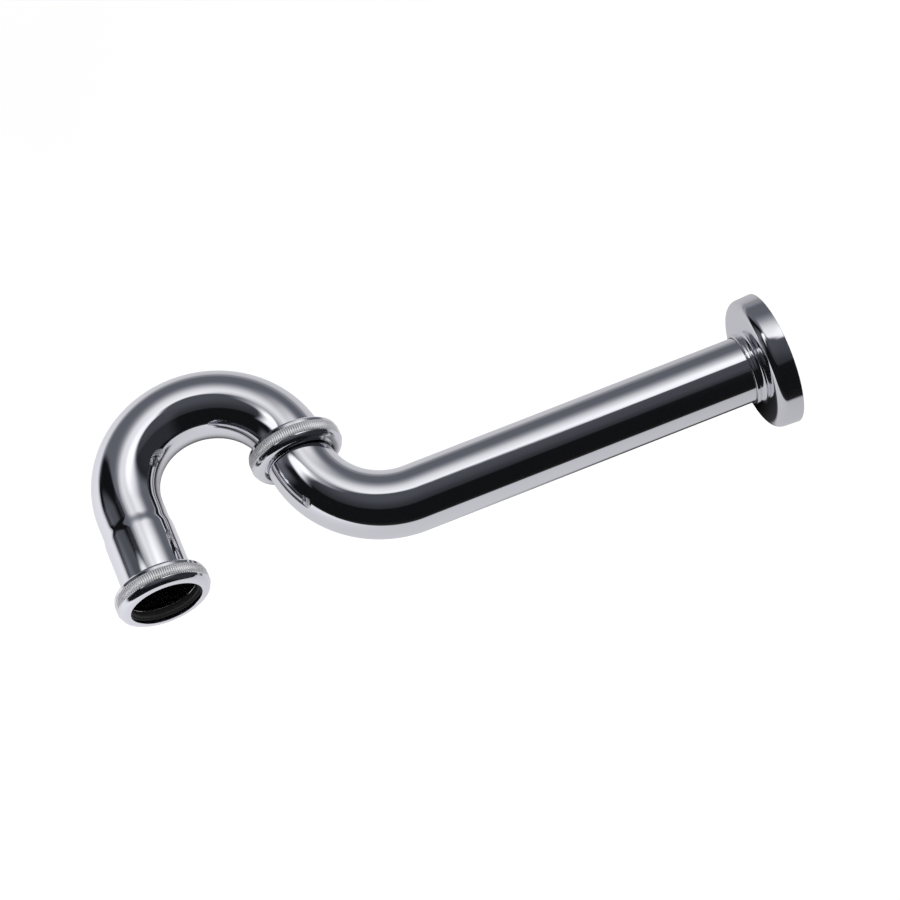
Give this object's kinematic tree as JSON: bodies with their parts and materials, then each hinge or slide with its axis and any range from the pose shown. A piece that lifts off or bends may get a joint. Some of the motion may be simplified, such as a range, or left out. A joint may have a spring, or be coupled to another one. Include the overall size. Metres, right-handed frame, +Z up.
{
  "type": "basin p-trap",
  "caption": "Chromed tubular basin trap: a U bend with a socketed inlet and knurled slip nuts, an elbowed outlet pipe that swivels, and a sliding wall flange.",
  "frame": {"origin": "centre of the socket's mouth, where the basin tailpiece enters", "axes": "+Z up along the inlet, +X along the outlet pipe to the wall, as the trap is fitted"},
  "size_m": [0.3297, 0.0644, 0.134],
  "materials": {
    "chrome": "polished",
    "nut_chrome": "polished, knurled",
    "flange_chrome": "polished sheet",
    "rubber": "moulded black rubber",
    "washer": "black friction washer"
  },
  "bodies": {
    "bend": {"trap_bend": "chrome", "inlet_washer": "washer", "inlet_packing": "rubber", "joint_packing": "rubber"},
    "inlet_nut": {"inlet_nut": "nut_chrome"},
    "joint_nut": {"joint_nut": "nut_chrome"},
    "outlet": {"outlet_pipe": "chrome"},
    "flange": {"wall_flange": "flange_chrome"}
  },
  "joints": [
    {"name": "trap_swivel", "type": "hinge", "parent": "bend", "child": "outlet", "pos_m": [0.082, 0, -0.0407], "axis": [0, 0, 1], "range_deg": [-135, 135]},
    {"name": "flange_slide", "type": "slide", "parent": "outlet", "child": "flange", "axis": [-1, 0, 0], "range_m": [0, 0.15]},
    {"name": "joint_nut_turn", "type": "hinge", "parent": "bend", "child": "joint_nut", "pos_m": [0.082, 0, -0.0407], "axis": [0, 0, 1], "continuous": true},
    {"name": "inlet_nut_turn", "type": "hinge", "parent": "bend", "child": "inlet_nut", "pos_m": [0, 0, 0], "axis": [0, 0, 1], "continuous": true}
  ]
}
